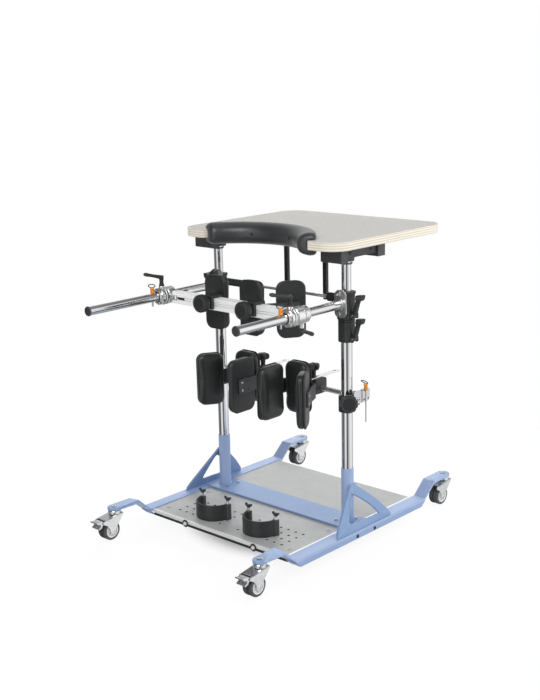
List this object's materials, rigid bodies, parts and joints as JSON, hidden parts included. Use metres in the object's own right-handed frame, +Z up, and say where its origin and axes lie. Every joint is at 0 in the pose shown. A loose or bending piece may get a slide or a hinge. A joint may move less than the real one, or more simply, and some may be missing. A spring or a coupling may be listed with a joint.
{
  "type": "standing frame",
  "caption": "Wheeled standing frame: castor base with footplate and heel cups, telescopic posts, padded knee cups, swinging padded hip gate and a notched table.",
  "frame": {"origin": "on the floor under the middle of the overall box", "axes": "+Z up, -Y towards the side the user steps in from, +X to the right of someone facing +Y"},
  "size_m": [0.6244, 0.95, 0.898],
  "materials": {
    "blue": "periwinkle blue powder coat",
    "chrome": "bright chrome tube",
    "steel": "light grey steel",
    "alloy": "satin aluminium",
    "black": "black moulded plastic",
    "cloth": "near-black coated pad cover",
    "tyre": "dark grey tyre on a light grey hub",
    "zinc": "grey zinc-coated pressing",
    "board": "grey speckled laminate on birch plywood",
    "orange": "orange moulded grip"
  },
  "bodies": {
    "base": {"side_frame_left": "blue", "side_frame_right": "blue", "cross_bar": "blue", "outer_post_left": "chrome", "outer_post_right": "chrome", "footplate": "steel", "heel_cup_left": "black", "heel_cup_right": "black"},
    "table": {"inner_post_left": "chrome", "inner_post_right": "chrome", "table_top": "board", "table_edge_roll": "cloth", "strut_hanger": "black"},
    "arms": {"arm_left": "steel", "arm_right": "steel"},
    "gate_clamps": {"arm_clamp_left": "alloy", "arm_clamp_right": "alloy"},
    "hip_gate": {"hip_rail": "alloy"},
    "knee_unit": {"knee_bar": "black"},
    "knee_pin": {"knee_pin": "orange"},
    "height_lever_left": {"height_lever_left": "black"},
    "carrier_lever_left": {"carrier_lever_left": "black"},
    "clamp_lever_left": {"clamp_lever_left": "black"},
    "arm_pin_left": {"arm_pin_left": "orange"},
    "hip_cup_left": {"hip_bracket_left": "black", "hip_pad_rear_left": "cloth", "hip_pad_side_left": "cloth"},
    "hip_knob_left": {"hip_knob_left": "black"},
    "knee_knob_left": {"knee_knob_left": "black"},
    "knee_block_left": {"knee_block_left": "black"},
    "star_knob_left": {"star_knob_left": "black"},
    "knee_cup_left": {"knee_frame_left": "steel", "knee_pad_front_left": "cloth", "knee_pad_inner_left": "cloth", "knee_pad_outer_left": "cloth"},
    "castor_front_left": {"castor_fork_front_left": "zinc"},
    "wheel_front_left": {"castor_wheel_front_left": "tyre"},
    "castor_rear_left": {"castor_fork_rear_left": "zinc"},
    "wheel_rear_left": {"castor_wheel_rear_left": "tyre"},
    "brake_pedal_left": {"brake_pedal_left": "zinc"},
    "height_lever_right": {"height_lever_right": "black"},
    "carrier_lever_right": {"carrier_lever_right": "black"},
    "clamp_lever_right": {"clamp_lever_right": "black"},
    "arm_pin_right": {"arm_pin_right": "orange"},
    "hip_cup_right": {"hip_bracket_right": "black", "hip_pad_rear_right": "cloth", "hip_pad_side_right": "cloth"},
    "hip_knob_right": {"hip_knob_right": "black"},
    "knee_knob_right": {"knee_knob_right": "black"},
    "knee_block_right": {"knee_block_right": "black"},
    "star_knob_right": {"star_knob_right": "black"},
    "knee_cup_right": {"knee_frame_right": "steel", "knee_pad_front_right": "cloth", "knee_pad_inner_right": "cloth", "knee_pad_outer_right": "cloth"},
    "castor_front_right": {"castor_fork_front_right": "zinc"},
    "wheel_front_right": {"castor_wheel_front_right": "tyre"},
    "castor_rear_right": {"castor_fork_rear_right": "zinc"},
    "wheel_rear_right": {"castor_wheel_rear_right": "tyre"},
    "brake_pedal_right": {"brake_pedal_right": "zinc"}
  },
  "joints": [
    {"name": "table_height", "type": "slide", "parent": "base", "child": "table", "axis": [0, 0, 1], "range_m": [0, 0.25]},
    {"name": "arms_height", "type": "slide", "parent": "table", "child": "arms", "axis": [0, 0, 1], "range_m": [0, 0.05]},
    {"name": "gate_depth", "type": "slide", "parent": "arms", "child": "gate_clamps", "axis": [0, 1, 0], "range_m": [0, 0.03]},
    {"name": "gate_swing", "type": "hinge", "parent": "gate_clamps", "child": "hip_gate", "pos_m": [-0.2, -0.185, 0.697], "axis": [0, 0, 1], "range_deg": [-60, 0]},
    {"name": "knee_height", "type": "slide", "parent": "base", "child": "knee_unit", "axis": [0, 0, 1], "range_m": [-0.1, 0.06]},
    {"name": "knee_pin_pull", "type": "slide", "parent": "knee_unit", "child": "knee_pin", "axis": [0, 0, 1], "range_m": [0, 0.04]},
    {"name": "height_lever_flip_left", "type": "hinge", "parent": "base", "child": "height_lever_left", "pos_m": [-0.2745, 0.035, 0.598], "axis": [0, -1, 0], "range_deg": [0, 50]},
    {"name": "carrier_lever_flip_left", "type": "hinge", "parent": "arms", "child": "carrier_lever_left", "pos_m": [-0.2745, 0.035, 0.664], "axis": [0, -1, 0], "range_deg": [0, 50]},
    {"name": "clamp_lever_turn_left", "type": "hinge", "parent": "gate_clamps", "child": "clamp_lever_left", "pos_m": [-0.247, -0.2, 0.7265], "axis": [0, 0, -1], "range_deg": [-20, 70]},
    {"name": "arm_pin_pull_left", "type": "slide", "parent": "arms", "child": "arm_pin_left", "axis": [0, 0, 1], "range_m": [0, 0.01]},
    {"name": "hip_cup_width_left", "type": "slide", "parent": "hip_gate", "child": "hip_cup_left", "axis": [-1, 0, 0], "range_m": [-0.02, 0.02]},
    {"name": "hip_knob_turn_left", "type": "hinge", "parent": "hip_cup_left", "child": "hip_knob_left", "pos_m": [-0.048, -0.246, 0.704], "axis": [0, 1, 0], "continuous": true},
    {"name": "knee_knob_turn_left", "type": "hinge", "parent": "knee_unit", "child": "knee_knob_left", "pos_m": [-0.2689, 0.0131, 0.4195], "axis": [-0.7071, -0.7071, 0], "continuous": true},
    {"name": "knee_cup_width_left", "type": "slide", "parent": "knee_unit", "child": "knee_block_left", "axis": [-1, 0, 0], "range_m": [-0.02, 0.02]},
    {"name": "knee_cup_depth_left", "type": "slide", "parent": "knee_block_left", "child": "knee_cup_left", "axis": [0, 1, 0], "range_m": [-0.03, 0.02]},
    {"name": "star_knob_turn_left", "type": "hinge", "parent": "knee_block_left", "child": "star_knob_left", "pos_m": [-0.1, 0.064, 0.454], "axis": [0, 0, 1], "continuous": true},
    {"name": "castor_swivel_front_left", "type": "hinge", "parent": "base", "child": "castor_front_left", "pos_m": [-0.291, -0.385, 0.085], "axis": [0, 0, 1], "continuous": true},
    {"name": "wheel_spin_front_left", "type": "hinge", "parent": "castor_front_left", "child": "wheel_front_left", "pos_m": [-0.291, -0.409, 0.029], "axis": [1, 0, 0], "continuous": true},
    {"name": "castor_swivel_rear_left", "type": "hinge", "parent": "base", "child": "castor_rear_left", "pos_m": [-0.291, 0.455, 0.085], "axis": [0, 0, 1], "continuous": true},
    {"name": "wheel_spin_rear_left", "type": "hinge", "parent": "castor_rear_left", "child": "wheel_rear_left", "pos_m": [-0.291, 0.431, 0.029], "axis": [1, 0, 0], "continuous": true},
    {"name": "brake_press_left", "type": "hinge", "parent": "castor_front_left", "child": "brake_pedal_left", "pos_m": [-0.291, -0.4395, 0.06], "axis": [1, 0, 0], "range_deg": [0, 12]},
    {"name": "height_lever_flip_right", "type": "hinge", "parent": "base", "child": "height_lever_right", "pos_m": [0.2745, 0.035, 0.598], "axis": [0, 1, 0], "range_deg": [0, 50]},
    {"name": "carrier_lever_flip_right", "type": "hinge", "parent": "arms", "child": "carrier_lever_right", "pos_m": [0.2745, 0.035, 0.664], "axis": [0, 1, 0], "range_deg": [0, 50]},
    {"name": "clamp_lever_turn_right", "type": "hinge", "parent": "gate_clamps", "child": "clamp_lever_right", "pos_m": [0.247, -0.2, 0.7265], "axis": [0, 0, 1], "range_deg": [-20, 70]},
    {"name": "arm_pin_pull_right", "type": "slide", "parent": "arms", "child": "arm_pin_right", "axis": [0, 0, 1], "range_m": [0, 0.01]},
    {"name": "hip_cup_width_right", "type": "slide", "parent": "hip_gate", "child": "hip_cup_right", "axis": [1, 0, 0], "range_m": [-0.02, 0.02]},
    {"name": "hip_knob_turn_right", "type": "hinge", "parent": "hip_cup_right", "child": "hip_knob_right", "pos_m": [0.112, -0.246, 0.704], "axis": [0, 1, 0], "continuous": true},
    {"name": "knee_knob_turn_right", "type": "hinge", "parent": "knee_unit", "child": "knee_knob_right", "pos_m": [0.2689, 0.0131, 0.4195], "axis": [0.7071, -0.7071, 0], "continuous": true},
    {"name": "knee_cup_width_right", "type": "slide", "parent": "knee_unit", "child": "knee_block_right", "axis": [1, 0, 0], "range_m": [-0.02, 0.02]},
    {"name": "knee_cup_depth_right", "type": "slide", "parent": "knee_block_right", "child": "knee_cup_right", "axis": [0, 1, 0], "range_m": [-0.03, 0.02]},
    {"name": "star_knob_turn_right", "type": "hinge", "parent": "knee_block_right", "child": "star_knob_right", "pos_m": [0.1, 0.064, 0.454], "axis": [0, 0, 1], "continuous": true},
    {"name": "castor_swivel_front_right", "type": "hinge", "parent": "base", "child": "castor_front_right", "pos_m": [0.291, -0.385, 0.085], "axis": [0, 0, 1], "continuous": true},
    {"name": "wheel_spin_front_right", "type": "hinge", "parent": "castor_front_right", "child": "wheel_front_right", "pos_m": [0.291, -0.409, 0.029], "axis": [1, 0, 0], "continuous": true},
    {"name": "castor_swivel_rear_right", "type": "hinge", "parent": "base", "child": "castor_rear_right", "pos_m": [0.291, 0.455, 0.085], "axis": [0, 0, 1], "continuous": true},
    {"name": "wheel_spin_rear_right", "type": "hinge", "parent": "castor_rear_right", "child": "wheel_rear_right", "pos_m": [0.291, 0.431, 0.029], "axis": [1, 0, 0], "continuous": true},
    {"name": "brake_press_right", "type": "hinge", "parent": "castor_front_right", "child": "brake_pedal_right", "pos_m": [0.291, -0.4395, 0.06], "axis": [1, 0, 0], "range_deg": [0, 12]}
  ]
}
